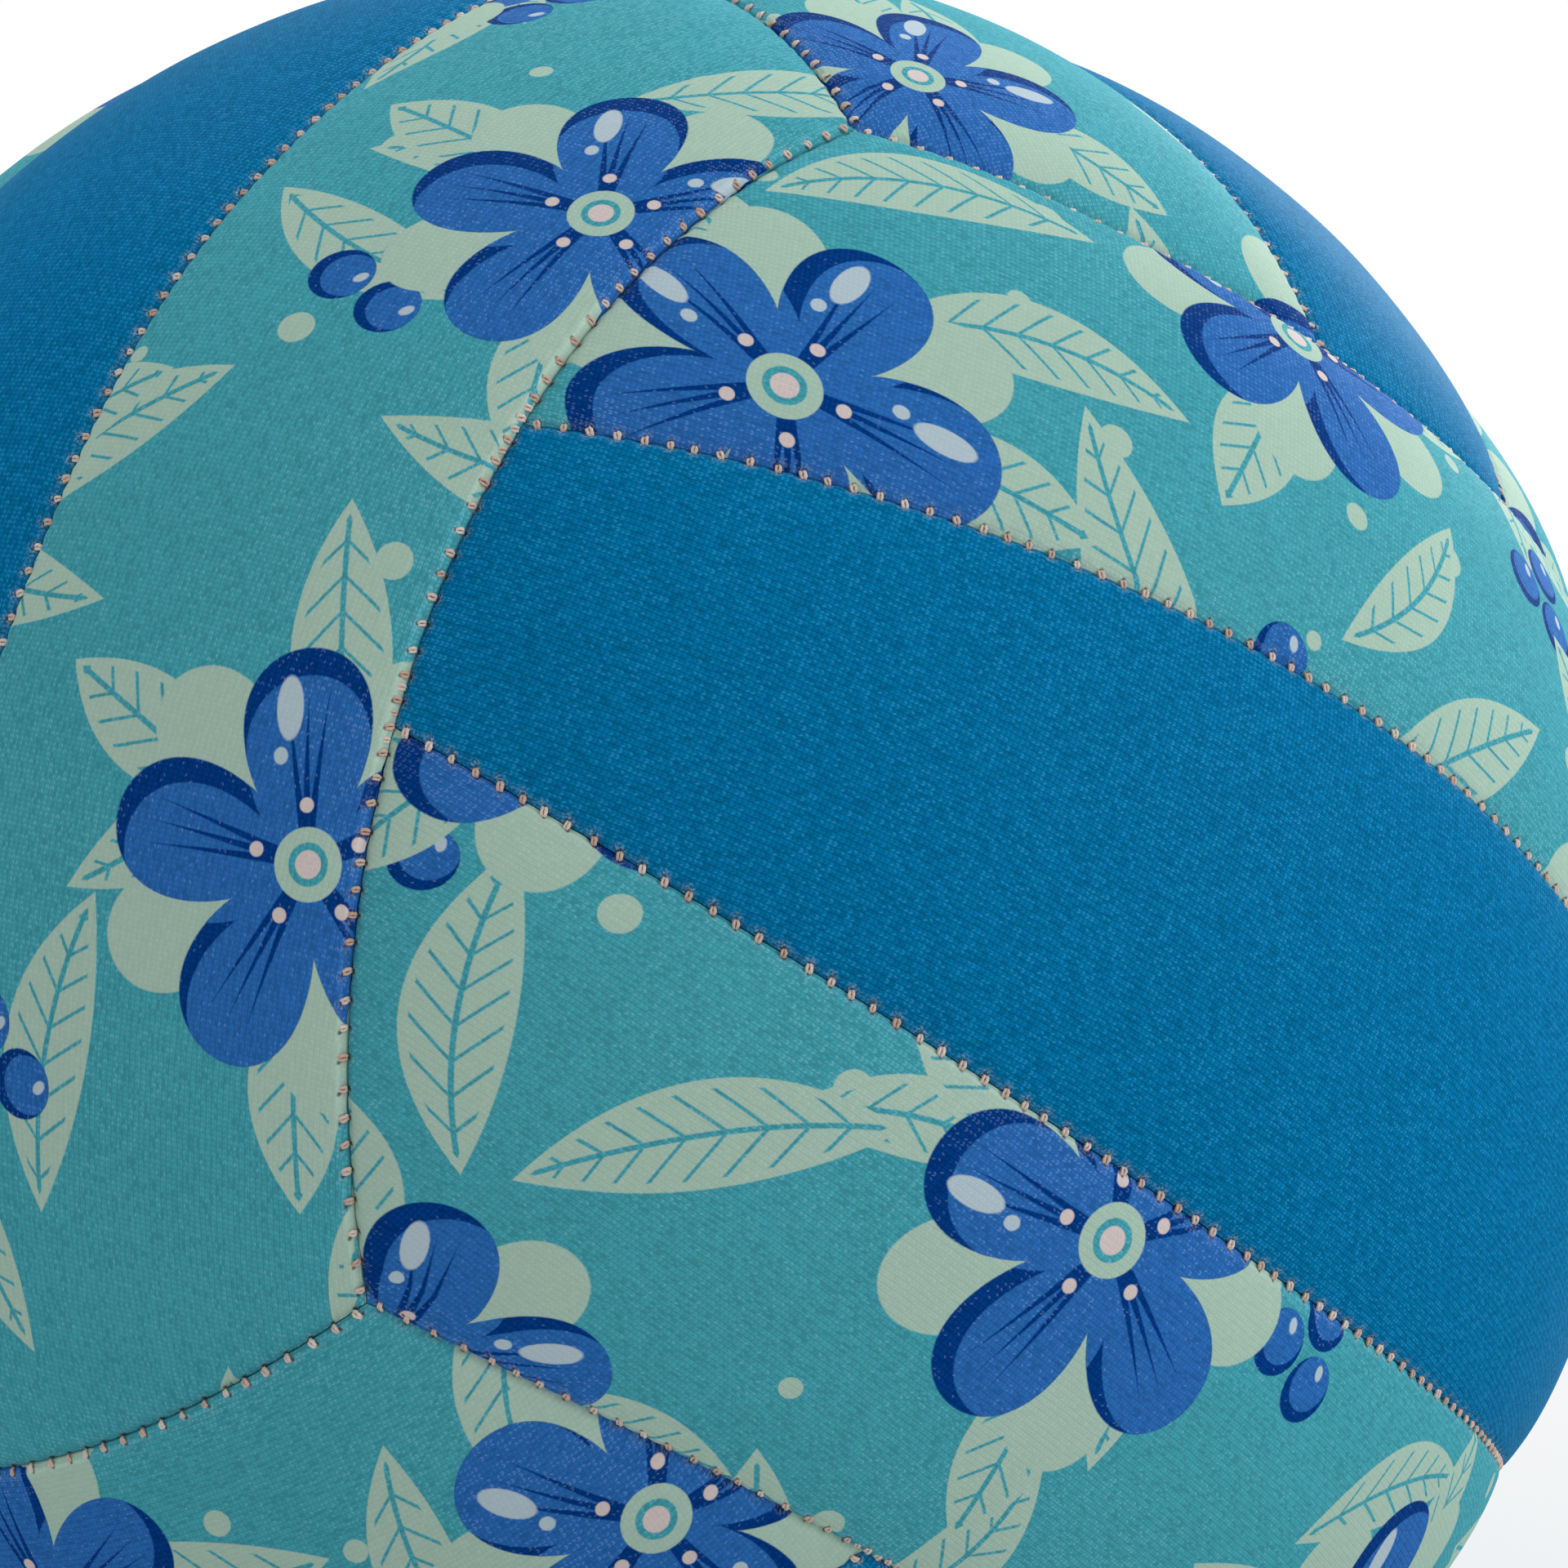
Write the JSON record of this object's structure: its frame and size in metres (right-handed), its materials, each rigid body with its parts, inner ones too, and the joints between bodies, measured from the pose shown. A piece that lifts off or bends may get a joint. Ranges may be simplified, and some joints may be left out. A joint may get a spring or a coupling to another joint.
{
  "type": "volleyball",
  "caption": "Round soft-touch volleyball of padded fabric panels in interlocking sets of parallel strips, sewn over an air bladder with a needle valve.",
  "frame": {"origin": "centre of the ball", "axes": "+X out through the middle of the front face, -X out through the valve in the middle of the back face, +Z out through the middle of the seam between the upper left and upper right faces"},
  "size_m": [0.2096, 0.2098, 0.2098],
  "materials": {
    "printed_knit": "printed knit",
    "plain_knit": "plain knit",
    "seam_thread": "twisted thread",
    "bladder_rubber": "satin",
    "valve_rubber": "satin",
    "patch_cloth": "woven"
  },
  "bodies": {
    "root": {"front_outer_panel_a": "printed_knit", "front_middle_panel": "plain_knit", "front_outer_panel_b": "printed_knit", "front_strip_thread_a": "seam_thread", "front_strip_thread_b": "seam_thread", "front_edge_thread_a": "seam_thread", "front_edge_thread_b": "seam_thread", "back_outer_panel_a": "printed_knit", "back_middle_panel": "plain_knit", "back_outer_panel_b": "printed_knit", "back_strip_thread_a": "seam_thread", "back_strip_thread_b": "seam_thread", "back_edge_thread_a": "seam_thread", "back_edge_thread_b": "seam_thread", "upper_right_outer_panel_a": "printed_knit", "upper_right_middle_panel": "plain_knit", "upper_right_outer_panel_b": "printed_knit", "upper_right_strip_thread_a": "seam_thread", "upper_right_strip_thread_b": "seam_thread", "upper_right_edge_thread_a": "seam_thread", "upper_right_edge_thread_b": "seam_thread", "lower_left_outer_panel_a": "printed_knit", "lower_left_middle_panel": "plain_knit", "lower_left_outer_panel_b": "printed_knit", "lower_left_strip_thread_a": "seam_thread", "lower_left_strip_thread_b": "seam_thread", "lower_left_edge_thread_a": "seam_thread", "lower_left_edge_thread_b": "seam_thread", "lower_right_outer_panel_a": "printed_knit", "lower_right_middle_panel": "plain_knit", "lower_right_outer_panel_b": "printed_knit", "lower_right_strip_thread_a": "seam_thread", "lower_right_strip_thread_b": "seam_thread", "lower_right_edge_thread_a": "seam_thread", "lower_right_edge_thread_b": "seam_thread", "upper_left_outer_panel_a": "printed_knit", "upper_left_middle_panel": "plain_knit", "upper_left_outer_panel_b": "printed_knit", "upper_left_strip_thread_a": "seam_thread", "upper_left_strip_thread_b": "seam_thread", "upper_left_edge_thread_a": "seam_thread", "upper_left_edge_thread_b": "seam_thread", "bladder": "bladder_rubber", "valve_housing": "valve_rubber", "valve_core": "valve_rubber", "valve_patch": "patch_cloth"}
  },
  "joints": []
}
